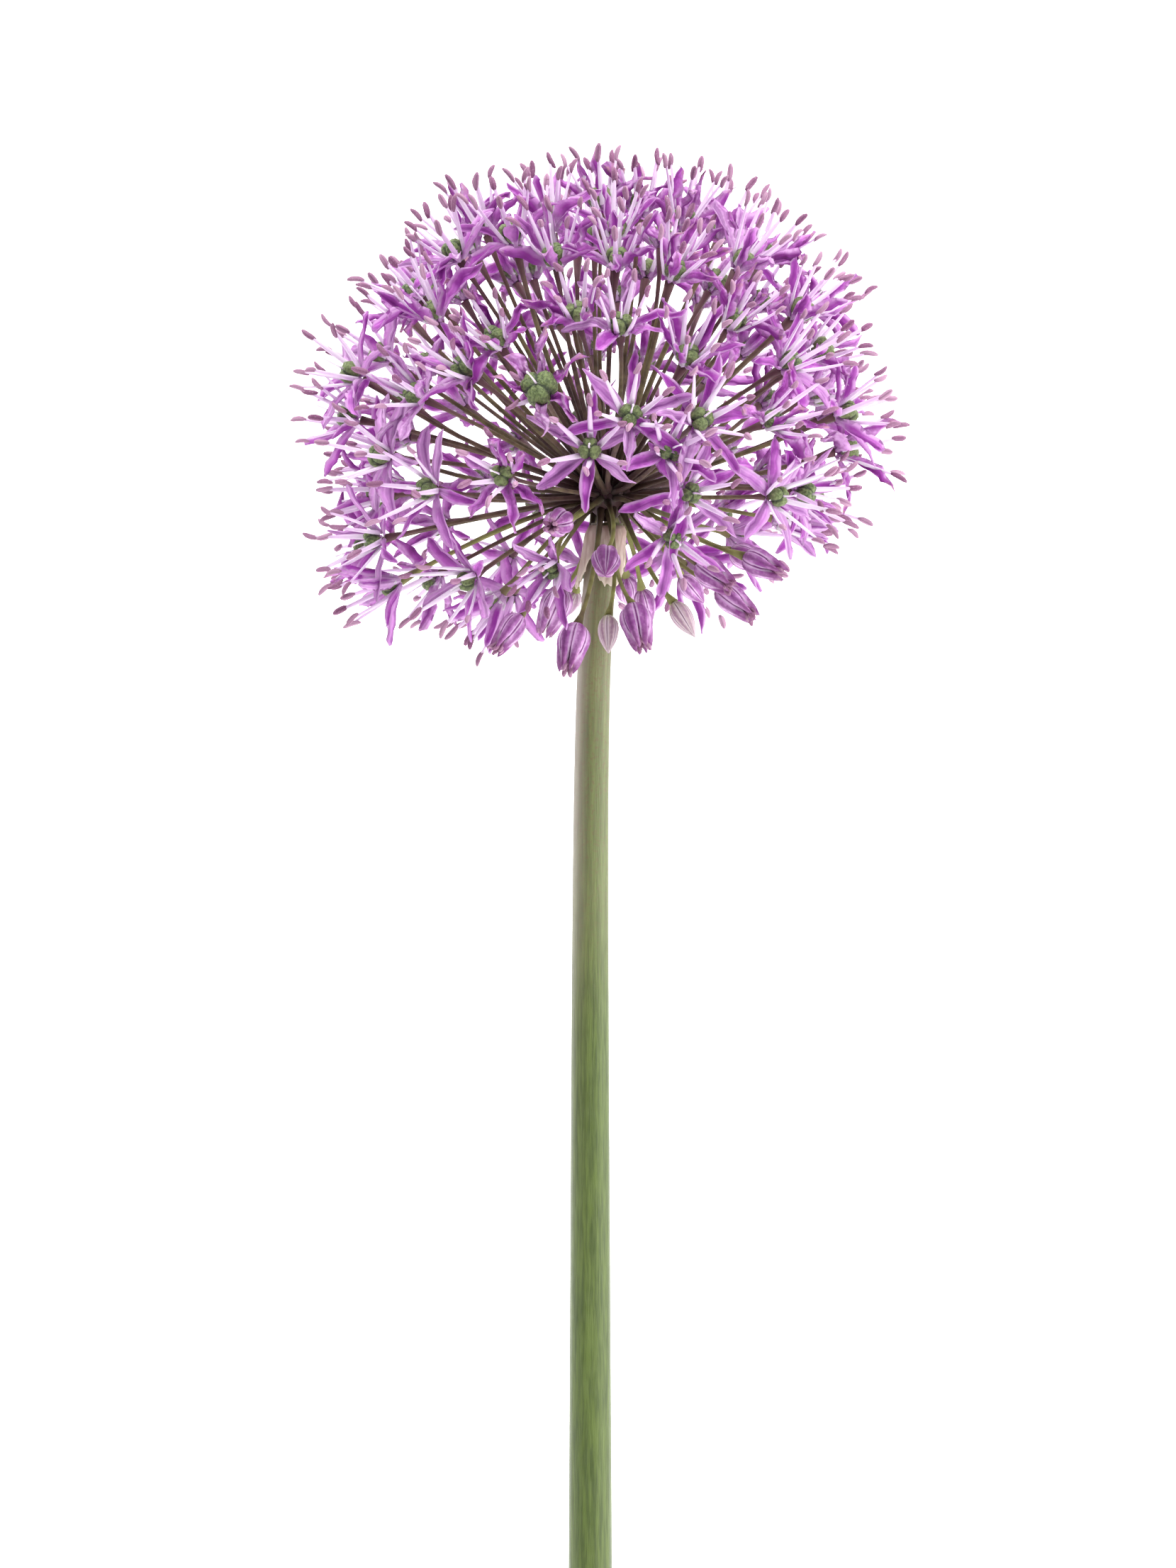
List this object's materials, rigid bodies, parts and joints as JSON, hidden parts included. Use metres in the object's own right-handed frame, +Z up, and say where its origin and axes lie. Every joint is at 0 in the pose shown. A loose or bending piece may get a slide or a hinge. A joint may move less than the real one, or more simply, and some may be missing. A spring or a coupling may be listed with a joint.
{
  "type": "allium flower head",
  "caption": "Cut ornamental onion flower lying on its side: a round umbel of purple star florets and pale buds on thin stalks, on a bare green scape with a papery collar.",
  "frame": {"origin": "centre of the bounding box's bottom, on the surface that the cut flower lies on", "axes": "+Y along the flower from the cut end to the top of the head, +Z up from the surface, +X the picture's right"},
  "size_m": [0.1, 0.2406, 0.0922],
  "materials": {
    "umbel": "soft matte petals, purple with a darker midrib",
    "scape": "matte waxy green with a brown-purple flush",
    "spathe": "dry papery bract"
  },
  "bodies": {
    "root": {"umbel": "umbel", "scape": "scape", "spathe": "spathe"}
  },
  "joints": []
}
